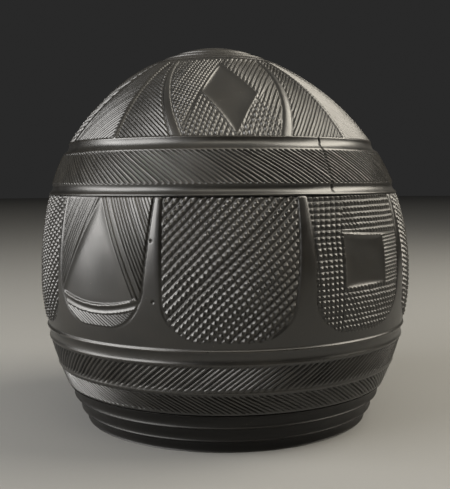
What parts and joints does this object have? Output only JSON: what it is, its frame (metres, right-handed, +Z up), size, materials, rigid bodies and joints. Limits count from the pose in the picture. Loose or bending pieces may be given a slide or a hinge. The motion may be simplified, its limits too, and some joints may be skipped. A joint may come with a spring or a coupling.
{
  "type": "carved egg box",
  "caption": "Egg-shaped box, relief-carved in satin black, flat ringed foot, lift-off domed lid that drops over an inner collar.",
  "frame": {"origin": "middle of the flat base, at the height the foot rests on", "axes": "+Z up through the crown of the lid, -Y the carved face seen from the front, +X to its right"},
  "size_m": [0.1, 0.1, 0.0993],
  "materials": {
    "bowl_shell": "satin black, polished carving",
    "lid_shell": "satin black, polished carving",
    "foot_ring": "satin black, turned",
    "crown_button": "satin black, turned",
    "rim_collar": "bare dark wood, turned",
    "base_disc": "matt black"
  },
  "bodies": {
    "bowl": {"bowl_shell": "bowl_shell", "foot_ring": "foot_ring", "base_disc": "base_disc", "rim_collar": "rim_collar"},
    "lid": {"lid_shell": "lid_shell", "crown_button": "crown_button"}
  },
  "joints": [
    {"name": "lid_lift", "type": "slide", "parent": "bowl", "child": "lid", "axis": [0, 0, 1], "range_m": [0, 0.04]}
  ]
}
